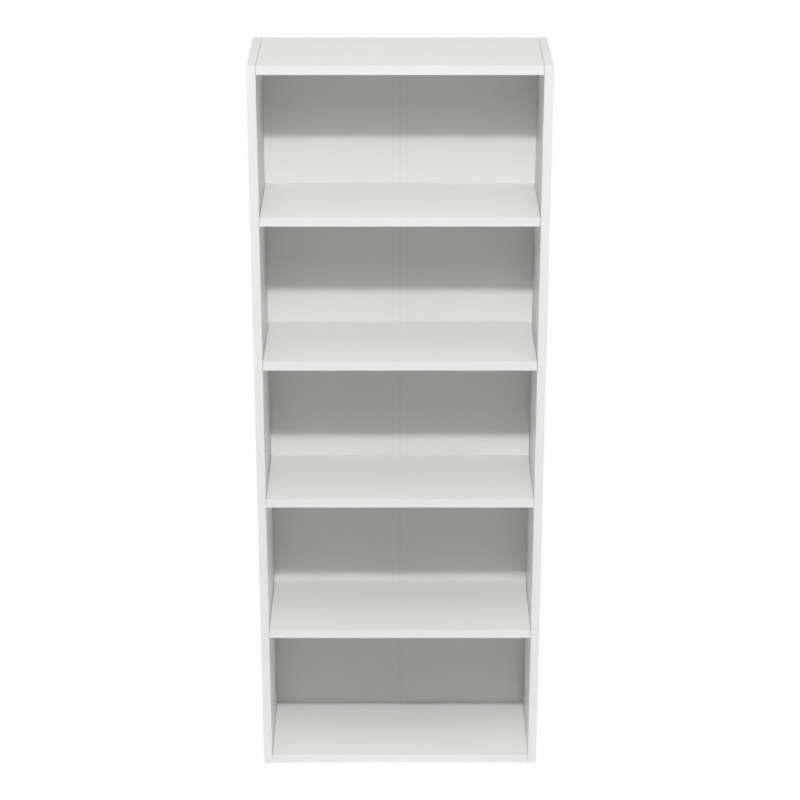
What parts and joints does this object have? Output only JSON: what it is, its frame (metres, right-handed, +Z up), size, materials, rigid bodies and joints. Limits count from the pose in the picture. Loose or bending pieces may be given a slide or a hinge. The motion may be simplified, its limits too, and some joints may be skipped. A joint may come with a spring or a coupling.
{
  "type": "bookcase with adjustable shelves",
  "caption": "Tall narrow open bookcase in white-faced board, with lift-off shelves on pull-out pins, cam-joined fixed boards and a nailed sheet back.",
  "frame": {"origin": "on the floor at the centre of the footprint", "axes": "+Z up; +X to the right seen from the front; the open front faces -Y and the nailed back faces +Y"},
  "size_m": [0.61, 0.24, 1.6],
  "materials": {
    "white_board": "satin",
    "white_edge_band": "satin",
    "white_hardboard": "satin",
    "seam_tape": "matte",
    "zinc_cam": "satin",
    "plated_steel": "satin",
    "beech_dowel": "matte",
    "white_cap": "satin",
    "nickel_pin": "satin"
  },
  "bodies": {
    "carcass": {"left_side_panel": "white_board", "left_side_front_band": "white_edge_band", "left_side_top_band": "white_edge_band", "left_back_sheet": "white_hardboard", "right_side_panel": "white_board", "right_side_front_band": "white_edge_band", "right_side_top_band": "white_edge_band", "right_back_sheet": "white_hardboard", "bottom_panel": "white_board", "bottom_panel_front_band": "white_edge_band", "bottom_panel_cam_locks": "zinc_cam", "bottom_panel_cam_bolts": "plated_steel", "bottom_panel_dowels": "beech_dowel", "fixed_shelf": "white_board", "fixed_shelf_front_band": "white_edge_band", "fixed_shelf_cam_locks": "zinc_cam", "fixed_shelf_cam_bolts": "plated_steel", "fixed_shelf_dowels": "beech_dowel", "top_panel": "white_board", "top_panel_front_band": "white_edge_band", "top_panel_cam_locks": "zinc_cam", "top_panel_cam_bolts": "plated_steel", "top_panel_dowels": "beech_dowel", "fixed_shelf_cam_caps": "white_cap", "top_panel_cam_caps": "white_cap", "back_seam_tape": "seam_tape", "back_nails": "plated_steel"},
    "upper_shelf": {"upper_shelf_board": "white_board", "upper_shelf_front_band": "white_edge_band"},
    "middle_shelf": {"middle_shelf_board": "white_board", "middle_shelf_front_band": "white_edge_band"},
    "lower_shelf": {"lower_shelf_board": "white_board", "lower_shelf_front_band": "white_edge_band"},
    "upper_shelf_front_left_pin": {"upper_shelf_front_left_pin": "nickel_pin"},
    "upper_shelf_front_right_pin": {"upper_shelf_front_right_pin": "nickel_pin"},
    "upper_shelf_rear_left_pin": {"upper_shelf_rear_left_pin": "nickel_pin"},
    "upper_shelf_rear_right_pin": {"upper_shelf_rear_right_pin": "nickel_pin"},
    "middle_shelf_front_left_pin": {"middle_shelf_front_left_pin": "nickel_pin"},
    "middle_shelf_front_right_pin": {"middle_shelf_front_right_pin": "nickel_pin"},
    "middle_shelf_rear_left_pin": {"middle_shelf_rear_left_pin": "nickel_pin"},
    "middle_shelf_rear_right_pin": {"middle_shelf_rear_right_pin": "nickel_pin"},
    "lower_shelf_front_left_pin": {"lower_shelf_front_left_pin": "nickel_pin"},
    "lower_shelf_front_right_pin": {"lower_shelf_front_right_pin": "nickel_pin"},
    "lower_shelf_rear_left_pin": {"lower_shelf_rear_left_pin": "nickel_pin"},
    "lower_shelf_rear_right_pin": {"lower_shelf_rear_right_pin": "nickel_pin"}
  },
  "joints": [
    {"name": "upper_shelf_lift", "type": "slide", "parent": "carcass", "child": "upper_shelf", "axis": [0, 0, 1], "range_m": [0, 0.29]},
    {"name": "middle_shelf_lift", "type": "slide", "parent": "carcass", "child": "middle_shelf", "axis": [0, 0, 1], "range_m": [0, 0.29]},
    {"name": "lower_shelf_lift", "type": "slide", "parent": "carcass", "child": "lower_shelf", "axis": [0, 0, 1], "range_m": [0, 0.29]},
    {"name": "upper_shelf_front_left_pin_pull", "type": "slide", "parent": "carcass", "child": "upper_shelf_front_left_pin", "axis": [1, 0, 0], "range_m": [0, 0.008]},
    {"name": "upper_shelf_front_right_pin_pull", "type": "slide", "parent": "carcass", "child": "upper_shelf_front_right_pin", "axis": [-1, 0, 0], "range_m": [0, 0.008]},
    {"name": "upper_shelf_rear_left_pin_pull", "type": "slide", "parent": "carcass", "child": "upper_shelf_rear_left_pin", "axis": [1, 0, 0], "range_m": [0, 0.008]},
    {"name": "upper_shelf_rear_right_pin_pull", "type": "slide", "parent": "carcass", "child": "upper_shelf_rear_right_pin", "axis": [-1, 0, 0], "range_m": [0, 0.008]},
    {"name": "middle_shelf_front_left_pin_pull", "type": "slide", "parent": "carcass", "child": "middle_shelf_front_left_pin", "axis": [1, 0, 0], "range_m": [0, 0.008]},
    {"name": "middle_shelf_front_right_pin_pull", "type": "slide", "parent": "carcass", "child": "middle_shelf_front_right_pin", "axis": [-1, 0, 0], "range_m": [0, 0.008]},
    {"name": "middle_shelf_rear_left_pin_pull", "type": "slide", "parent": "carcass", "child": "middle_shelf_rear_left_pin", "axis": [1, 0, 0], "range_m": [0, 0.008]},
    {"name": "middle_shelf_rear_right_pin_pull", "type": "slide", "parent": "carcass", "child": "middle_shelf_rear_right_pin", "axis": [-1, 0, 0], "range_m": [0, 0.008]},
    {"name": "lower_shelf_front_left_pin_pull", "type": "slide", "parent": "carcass", "child": "lower_shelf_front_left_pin", "axis": [1, 0, 0], "range_m": [0, 0.008]},
    {"name": "lower_shelf_front_right_pin_pull", "type": "slide", "parent": "carcass", "child": "lower_shelf_front_right_pin", "axis": [-1, 0, 0], "range_m": [0, 0.008]},
    {"name": "lower_shelf_rear_left_pin_pull", "type": "slide", "parent": "carcass", "child": "lower_shelf_rear_left_pin", "axis": [1, 0, 0], "range_m": [0, 0.008]},
    {"name": "lower_shelf_rear_right_pin_pull", "type": "slide", "parent": "carcass", "child": "lower_shelf_rear_right_pin", "axis": [-1, 0, 0], "range_m": [0, 0.008]}
  ]
}
